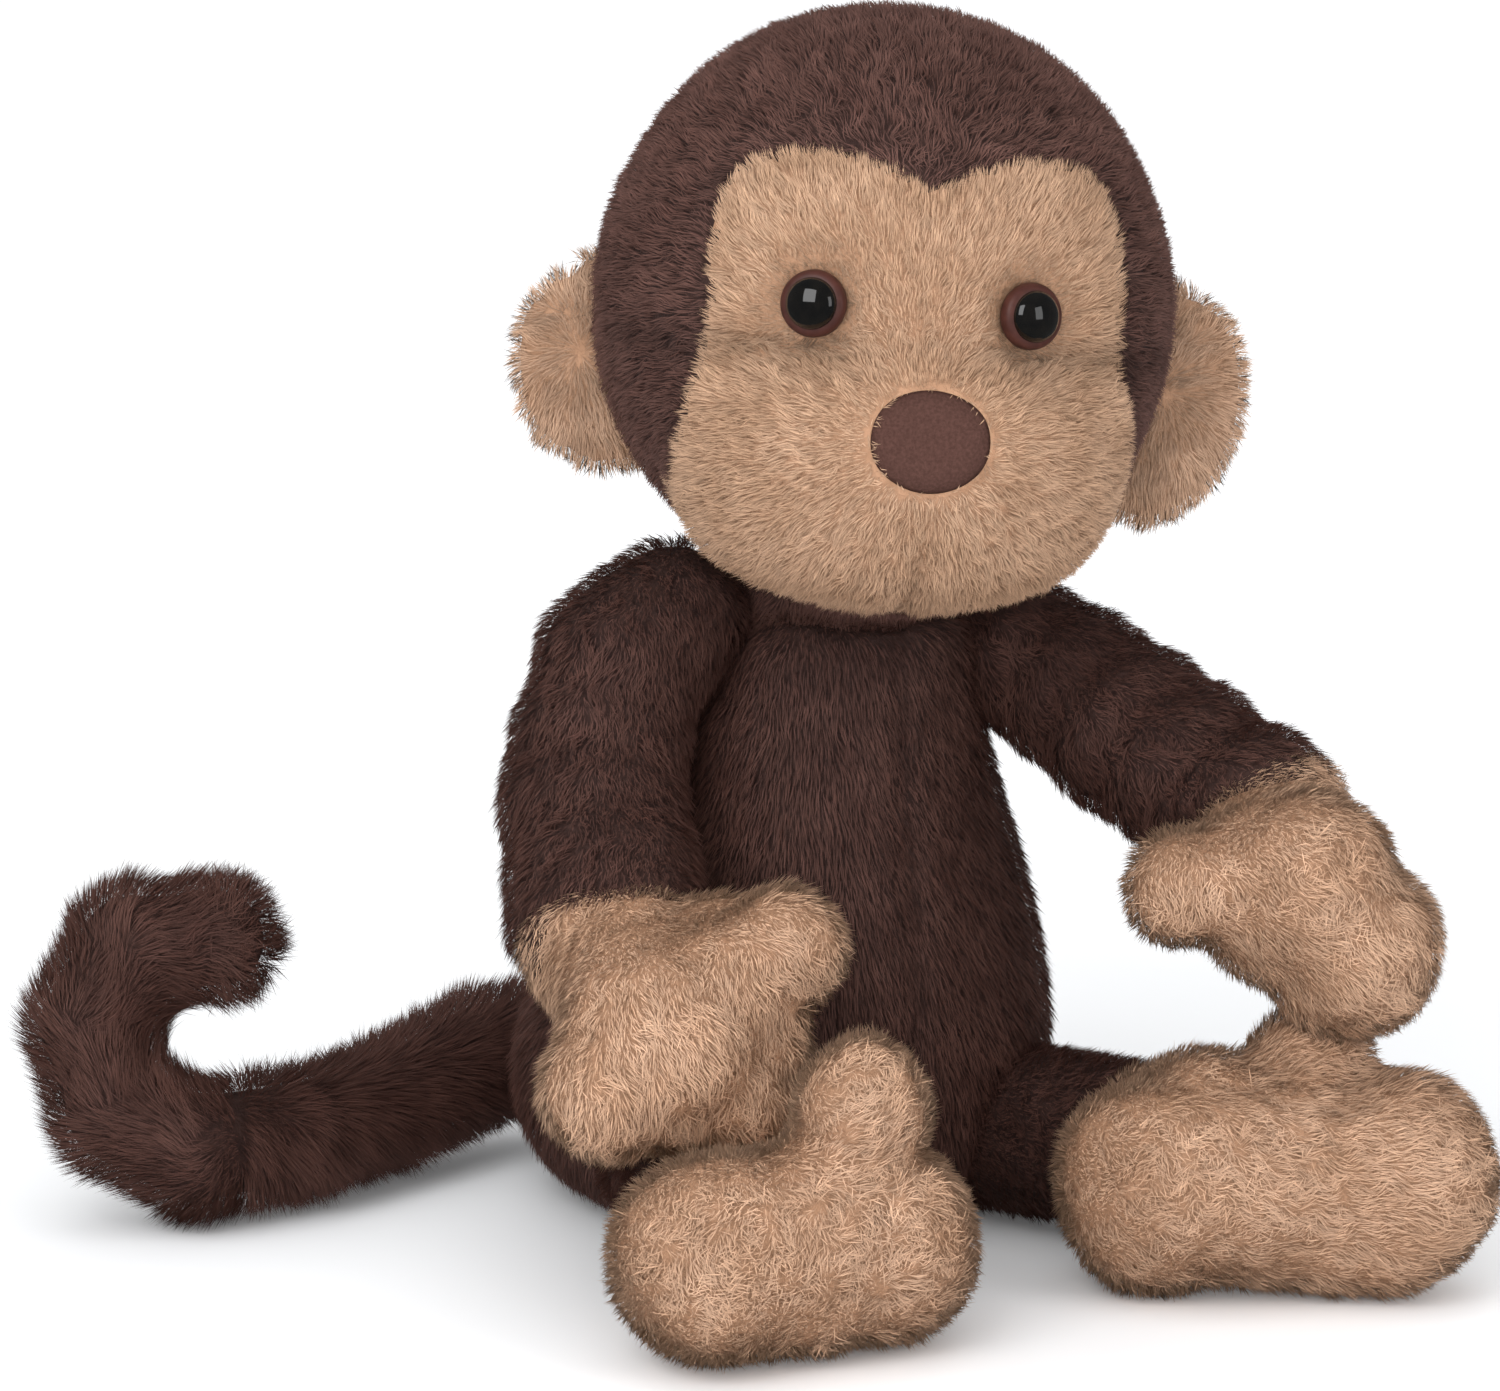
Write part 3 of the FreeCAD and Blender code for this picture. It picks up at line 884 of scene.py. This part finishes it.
def add_arm(side):
    """A sleeve and a hand, which meet at the wrist's seam."""
    arm, hand = side + "_arm", side + "_hand"
    arm_way = (at(hand + "_bend") - at(arm + "_raise")).normalized()
    hand_way = (middle_of(hand + "_shell") - at(hand + "_bend")).normalized()
    wrist = (at(hand + "_bend") + arm_way * 3.0 * MM, (arm_way + hand_way * 0.6).normalized())
    spot = PALM_SPOT.get(side)
    piece(
        arm, [arm + "_sleeve"], [arm + "_stuffing"], 2.8 * MM,
        {**BROWN_LOOK, "comb": comb_along(arm_way * 0.8 + Vector((0, 0, -0.25)))},
        blend=limb_blend(arm + "_raise", "torso", arm, arm + "_sleeve", 8 * MM, 22 * MM),
        balls=[(at(hand + "_bend"), WRIST_R), *SHOULDERS[side]], rounds=16,
        sculpt=sculpt_soft(40 * MM, 0.7 * MM, 41), extra=seam_extra(wrist, False),
    )
    piece(
        hand, [hand + "_shell"], [hand + "_stuffing"], 2.9 * MM,
        {**TAN_LOOK, "comb": comb_from(at(hand + "_bend") - arm_way * 25.0 * MM)},
        blend=limb_blend(hand + "_bend", arm, hand, hand + "_shell", 4 * MM, 14 * MM),
        balls=PALM_FILL[side], sculpt=sculpt_soft(24 * MM, 0.8 * MM, 43, wrist, spot),
        extra=seam_extra(wrist, True, spot),
    )


def add_leg(side):
    """A sleeve and a foot, which meet at the ankle's seam."""
    leg, foot = side + "_leg", side + "_foot"
    leg_way = (at(foot + "_point") - at(leg + "_lower")).normalized()
    ankle = (at(foot + "_point") - leg_way * 3.0 * MM, leg_way)
    spot = TOE_SPOT.get(side)
    piece(
        leg, [leg + "_sleeve"], [leg + "_stuffing"], 3.0 * MM,
        {**BROWN_LOOK, "comb": comb_along(leg_way)},
        blend=limb_blend(leg + "_lower", "torso", leg, leg + "_sleeve", 4 * MM, 26 * MM),
        balls=[(at(foot + "_point"), LIMB_END_R)], sculpt=sculpt_soft(40 * MM, 0.7 * MM, 47),
        extra=seam_extra(ankle, False),
    )
    piece(
        foot, [foot + "_shell"], [foot + "_stuffing"], 2.9 * MM,
        {**TAN_LOOK, "comb": comb_from(at(foot + "_point") - leg_way * 20.0 * MM)},
        blend=limb_blend(foot + "_point", leg, foot, foot + "_shell", 4 * MM, 12 * MM),
        balls=TOE_FILL[side], sculpt=sculpt_soft(26 * MM, 0.9 * MM, 53, ankle, spot),
        extra=seam_extra(ankle, True, spot),
    )


def add_ear(side):
    """Two layers of plush in one skin, sewn into the head."""
    ear = side + "_ear"
    piece(
        ear, [ear + "_front", ear + "_back"], [], 1.2 * MM,
        {**TAN_LOOK, "comb": comb_from(at(ear + "_fold"), (0.0, 0.0, -0.25)), "length": 5.6 * MM,
         "lean": 0.95, "density": 1.3, "width": 0.85},
        blend=("head", ear, at(ear + "_fold"), towards(ear + "_fold", ear + "_front", 9 * MM)),
        rounds=4, sculpt=sculpt_ear(side), extra=ear_extra(side),
    )


def add_head():
    """One skin for the whole head, parted into cap and face. Gives back the whole skin."""
    low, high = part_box("neck_stuffing")
    whole = make_skin(
        "head_whole", ["head_cap", "face_panel"], 2.6 * MM, rounds=8,
        balls=[((low + high) * 0.5, (high.z - low.z) * 0.5)], sculpt=sculpt_head,
    )
    for name, want_face, look, slot, nodes in (
        ("cap", False, CAP_LOOK, "brown_plush", ["head_cap", "head_stuffing"]),
        ("face", True, FACE_LOOK, "tan_plush", ["face_panel"]),
    ):
        PIECES.append({
            "name": name, "skin": split_skin(whole, name + "_skin", want_face), "body": "head",
            "stands_for": nodes, "look": look, "blend": None, "slot": slot,
            "extra": head_extra(want_face),
        })
    return whole


def tree_of(obj):
    """A search tree of an object's surface, with its box's corners."""
    co, tris, _ = mesh_arrays(obj.data)
    tree = BVHTree.FromPolygons([tuple(p) for p in co], [tuple(t) for t in tris])
    return tree, co.min(axis=0), co.max(axis=0)


piece(
    "torso", ["torso_front_panel", "torso_back_panel"], ["torso_stuffing"], 3.4 * MM, TORSO_LOOK,
    hull=True, sculpt=sculpt_torso, extra=torso_extra,
)
for side in ("right", "left"):
    add_arm(side)
    add_leg(side)
    add_ear(side)
piece(
    "tail", ["tail_sleeve"], ["tail_stuffing"], 4.6 * MM, TAIL_LOOK,
    blend=("torso", "tail", at("tail_swing") + Vector((6, 0, 0)) * MM,
           at("tail_swing") - Vector((26, 0, 0)) * MM),
    sculpt=sculpt_soft(40 * MM, 0.6 * MM, 59),
)
piece("neck", ["neck_stuffing"], [], 3.0 * MM, NECK_LOOK, balls=NECK_FILL, hull=True)
whole_head = add_head()

SOLIDS = {row["name"]: tree_of(row["skin"]) for row in PIECES if row["body"] != "head"}
SOLIDS["head"] = tree_of(whole_head)
bpy.data.objects.remove(whole_head)

for number, row in enumerate(PIECES):
    skin = row["skin"]
    own = "head" if row["body"] == "head" else row["name"]
    others = [solid for name, solid in SOLIDS.items() if name != own]
    pile = grow(skin, row["name"] + "_pile", row["look"], 100 + 10 * number, others, row["extra"])
    skin.data.materials.clear()
    skin.data.materials.append(MATERIALS[row["look"]["material"]][1])
    for obj in (skin, pile):
        if row["blend"]:
            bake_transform(obj)
        else:
            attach(obj, row["body"])
    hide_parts(*row["stands_for"])


# ---- eyes ----
def quarter_round(centre, wide, tall, steps, power=1.0):
    """A profile's quarter turn from the side to the front, about a (radius, height) centre."""
    turns = [pi / 2 * step / steps for step in range(steps + 1)]
    return [(centre[0] + wide * cos(turn) ** power, centre[1] + tall * sin(turn)) for turn in turns]


# Turned profiles: (radius, height) pairs in millimetres, from the back to the front.
RING_PROFILE = [
    (0.0, -6.0), (2.5, -6.0), (2.5, -1.0), (6.6, -0.6), (6.95, 0.4), (6.9, 1.0),
    *quarter_round((5.0, 1.2), 1.85, 1.6, 8, 0.9), (0.0, 2.9),
]
DOME_PROFILE = [(0.0, 1.2), (5.35, 1.2), *quarter_round((0.0, 2.6), 5.35, 3.0, 12)]
WASHER_PROFILE = [(0.0, -8.2), (5.6, -8.2), (6.0, -7.7), (6.0, -7.3), (5.6, -6.8), (0.0, -6.8)]
EYE_SINK = 3.1                 # how far an eye's base lies behind its seat, in millimetres


def lathe(name, profile, place, segments=64):
    """A turned piece with a profile in millimetres."""
    bm = bmesh.new()
    rings = []
    for radius, height in profile:
        radius, height = radius * MM, height * MM
        if radius < 1e-6:
            rings.append([bm.verts.new((0.0, 0.0, height))])
            continue
        rings.append([
            bm.verts.new((radius * cos(tau * i / segments), radius * sin(tau * i / segments), height))
            for i in range(segments)
        ])
    for low, high in zip(rings, rings[1:]):
        for i in range(segments):
            j = (i + 1) % segments
            corners = [low[i % len(low)], low[j % len(low)], high[j % len(high)], high[i % len(high)]]
            corners = list(dict.fromkeys(corners))
            if len(corners) > 2:
                bm.faces.new(corners)
    bmesh.ops.recalc_face_normals(bm, faces=bm.faces)
    for face in bm.faces:
        face.smooth = True
    mesh = bpy.data.meshes.new(name)
    bm.to_mesh(mesh)
    bm.free()
    mesh.transform(place)
    return new_object(name, mesh)


def gloss(name, colour, edge, roughness, coat):
    """Moulded plastic with a clear coat."""
    material, nodes, links, shader = new_material(name)
    links.new(
        mix_colour(nodes, links, noise(nodes, links, 420.0, 2.0), colour, edge),
        shader.inputs["Base Color"],
    )
    shader.inputs["Roughness"].default_value = roughness
    shader.inputs["Specular IOR Level"].default_value = 0.3
    shader.inputs["Coat Weight"].default_value = coat
    shader.inputs["Coat Roughness"].default_value = 0.02
    return material


EYE_BROWN = gloss("eye_brown", (0.040, 0.012, 0.009, 1), (0.058, 0.018, 0.013, 1), 0.45, 0.04)
EYE_BLACK = gloss("eye_black", (0.002, 0.002, 0.002, 1), (0.004, 0.0035, 0.003, 1), 0.05, 0.6)
WASHER = plain_material("washer", (0.62, 0.62, 0.62, 1), (0.72, 0.72, 0.72, 1), 200.0, 0.5, 0.1 * MM)
EYE_PARTS = (
    ("_eye_ring", RING_PROFILE, EYE_BROWN, "eye_brown", "_eye"),
    ("_eye_dome", DOME_PROFILE, EYE_BLACK, "eye_black", "_pupil"),
    ("_eye_washer_disc", WASHER_PROFILE, WASHER, "washer_plastic", "_eye_washer"),
)


def add_eye(side):
    """A moulded ring with a black dome in it, and the washer that holds it inside the head."""
    seat, outward = eye_seat(side)
    base = HEAD_CENTRE + HEAD_TURN @ (seat - outward * EYE_SINK * MM)
    place = Matrix.Translation(base) @ (HEAD_TURN @ outward).to_track_quat("Z", "Y").to_matrix().to_4x4()
    for label, profile, material, slot, node in EYE_PARTS:
        part = lathe(side + label, profile, place)
        part.data.materials.append(material)
        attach(part, "head")
        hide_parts(side + node)


for side in EYES:
    add_eye(side)

# ---- nose ----
NOSE_RINGS, NOSE_SPOKES = 14, 72
NOSE_CROWN = 2.6               # how far the nose stands out in its middle, in millimetres
NOSE_THICKNESS = 1.2 * MM


def nose_loops(bm):
    """Flat rings of points from the nose's middle out to its slightly squared outline."""
    loops = [[bm.verts.new((0.0, 0.0, 0.0))] * NOSE_SPOKES]
    for ring in range(1, NOSE_RINGS + 1):
        share = ring / NOSE_RINGS
        row = []
        for spoke in range(NOSE_SPOKES):
            angle = tau * spoke / NOSE_SPOKES
            wide = 1.03 + 0.05 * sin(angle) * abs(sin(angle)) - 0.03 * cos(2 * angle) ** 2
            row.append(bm.verts.new((
                NOSE_HALF[0] * share * wide * cos(angle), 0.0, NOSE_HALF[1] * share * sin(angle)
            )))
        loops.append(row)
    return loops


def make_nose():
    """A suede pad crowned over the muzzle."""
    bm = bmesh.new()
    loops = nose_loops(bm)
    for inner, outer in zip(loops, loops[1:]):
        for i in range(NOSE_SPOKES):
            j = (i + 1) % NOSE_SPOKES
            bm.faces.new(list(dict.fromkeys([inner[i], outer[i], outer[j], inner[j]])))
    head_tree, _, _ = SOLIDS["head"]
    for vert in bm.verts:
        reach = hypot(vert.co.x / NOSE_HALF[0], vert.co.z / NOSE_HALF[1])
        crown = NOSE_CROWN * MM * max(0.0, 1.0 - min(reach, 1.0) ** 5) + 0.2 * MM
        ray_from = HEAD_CENTRE + HEAD_TURN @ Vector((vert.co.x, -0.12, NOSE_AT.z + vert.co.z))
        hit, _, _, _ = head_tree.ray_cast(ray_from, HEAD_TURN @ Vector((0, 1, 0)))
        vert.co = hit - HEAD_TURN @ Vector((0, crown, 0))
    for face in bm.faces:
        face.smooth = True
    bmesh.ops.recalc_face_normals(bm, faces=bm.faces)
    mesh = bpy.data.meshes.new("nose_pad")
    bm.to_mesh(mesh)
    bm.free()
    nose = new_object("nose_pad", mesh)
    nose.modifiers.new("body", "SOLIDIFY").thickness = NOSE_THICKNESS
    nose.data = evaluated(nose)
    nose.modifiers.clear()
    return nose


SUEDE = plain_material(
    "nose_suede", (0.050, 0.023, 0.018, 1), (0.072, 0.034, 0.027, 1), 1600.0, 0.95, 0.2 * MM
)
SUEDE.node_tree.nodes["Principled BSDF"].inputs["Specular IOR Level"].default_value = 0.15
nose = make_nose()
nose.data.materials.clear()
nose.data.materials.append(SUEDE)
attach(nose, "head")
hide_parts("nose")

# ---- pieces inside the toy keep their CAD shape ----
INNER = {
    "bean_bag": plain_material(
        "bag_cloth", (0.55, 0.54, 0.50, 1), (0.66, 0.65, 0.61, 1), 1500.0, 0.9, 0.2 * MM
    ),
    "bean_pellets": plain_material(
        "pellets", (0.62, 0.62, 0.58, 1), (0.80, 0.80, 0.76, 1), 500.0, 0.6, 1.0 * MM
    ),
}
for node, material in INNER.items():
    obj = frame["nodes"][node]
    obj.data.materials.clear()
    obj.data.materials.append(material)

# ---- floor ----
FLOOR_HALF = 14.0
FLOOR_GLOW = {"From Min": 0.25, "From Max": 0.75, "To Min": 0.04, "To Max": 0.25}


def make_floor():
    """A pale sweep that glows faintly, and more so away from the toy."""
    corners = [(x * FLOOR_HALF, y * FLOOR_HALF, 0) for x, y in ((-1, -1), (1, -1), (1, 1), (-1, 1))]
    mesh = bpy.data.meshes.new("floor")
    mesh.from_pydata(corners, [], [(0, 1, 2, 3)])
    floor = new_object("floor", mesh)
    material, nodes, links, shader = new_material("pale_floor")
    shader.inputs["Base Color"].default_value = (0.84, 0.85, 0.865, 1)
    shader.inputs["Emission Color"].default_value = (1.0, 1.0, 1.0, 1)
    place = nodes.new("ShaderNodeTexCoord")
    away = nodes.new("ShaderNodeVectorMath")
    away.operation = "LENGTH"
    links.new(place.outputs["Object"], away.inputs[0])
    glow = nodes.new("ShaderNodeMapRange")
    for socket, value in FLOOR_GLOW.items():
        glow.inputs[socket].default_value = value
    links.new(away.outputs["Value"], glow.inputs["Value"])
    links.new(glow.outputs["Result"], shader.inputs["Emission Strength"])
    shader.inputs["Roughness"].default_value = 1.0
    shader.inputs["Specular IOR Level"].default_value = 0.0
    floor.data.materials.append(material)
    floor.visible_glossy = False       # polished eyes mirror a dark studio, not the white sweep


# ---- light ----
azimuth, elevation = radians(CAMERA_AZIMUTH), radians(CAMERA_ELEVATION)
BACK = Vector((sin(azimuth) * cos(elevation), -cos(azimuth) * cos(elevation), sin(elevation)))
RIGHT = Vector((cos(azimuth), sin(azimuth), 0.0))
UP = Vector((0.0, 0.0, 1.0))
LIGHT_AIM = Vector((0.0, -0.03, 0.13))
EVEN_STUDIO, DARK_STUDIO = 0.72, 0.12


def add_light(name, spot, size, power, mirrored):
    """A rectangular softbox that looks at the toy. The mirrored ones show in its eyes."""
    data = bpy.data.lights.new(name, "AREA")
    data.shape = "RECTANGLE"
    data.size, data.size_y = size
    data.energy = power
    lamp = new_object(name, data)
    lamp.location = spot
    lamp.rotation_euler = (LIGHT_AIM - Vector(spot)).to_track_quat("-Z", "Y").to_euler()
    lamp.visible_glossy = mirrored


def add_even_light():
    """A very wide, soft sun that evens out the softboxes."""
    data = bpy.data.lights.new("even_light", "SUN")
    data.energy = 1.05
    data.angle = radians(75.0)
    lamp = new_object("even_light", data)
    lamp.visible_glossy = False
    lamp.rotation_euler = (-(BACK * 0.9 + UP)).to_track_quat("-Z", "Y").to_euler()


def make_world():
    """An even studio that is white behind the toy and dark where polished eyes mirror it."""
    world = bpy.data.worlds.new("studio")
    world.use_nodes = True
    nodes, links = world.node_tree.nodes, world.node_tree.links
    background = nodes["Background"]
    background.inputs["Color"].default_value = (1.0, 1.0, 1.0, 1)
    rays = nodes.new("ShaderNodeLightPath")
    strength = nodes.new("ShaderNodeMapRange")
    strength.inputs["To Min"].default_value = EVEN_STUDIO
    strength.inputs["To Max"].default_value = DARK_STUDIO
    links.new(rays.outputs["Is Glossy Ray"], strength.inputs["Value"])
    white = nodes.new("ShaderNodeMath")
    white.operation = "MAXIMUM"
    links.new(strength.outputs["Result"], white.inputs[0])
    links.new(rays.outputs["Is Camera Ray"], white.inputs[1])
    links.new(white.outputs["Value"], background.inputs["Strength"])
    bpy.context.scene.world = world


make_floor()
make_world()
add_light("key_softbox", BACK * 1.2 - RIGHT * 0.55 + UP * 0.65, (0.8, 0.9), 8.5, True)
add_light("fill_softbox", BACK * 1.2 + RIGHT * 1.3 + UP * 0.3, (0.6, 0.9), 3.5, True)
add_light("low_softbox", BACK * 1.7 + UP * 0.02, (1.4, 0.5), 14.0, False)
add_light("top_softbox", -BACK * 0.4 + UP * 1.7, (1.6, 1.6), 4.0, False)
add_even_light()

# ---- camera ----
camera_data = bpy.data.cameras.new("camera")
camera_data.sensor_fit = "HORIZONTAL"
camera_data.sensor_width = SENSOR
camera_data.lens = CAMERA_LENS
camera = new_object("camera", camera_data)
camera.location = CAMERA_TARGET + BACK * CAMERA_DISTANCE
camera.rotation_euler = (-BACK).to_track_quat("-Z", "Y").to_euler()
bpy.context.scene.camera = camera
bpy.context.scene.view_settings.view_transform = "Standard"
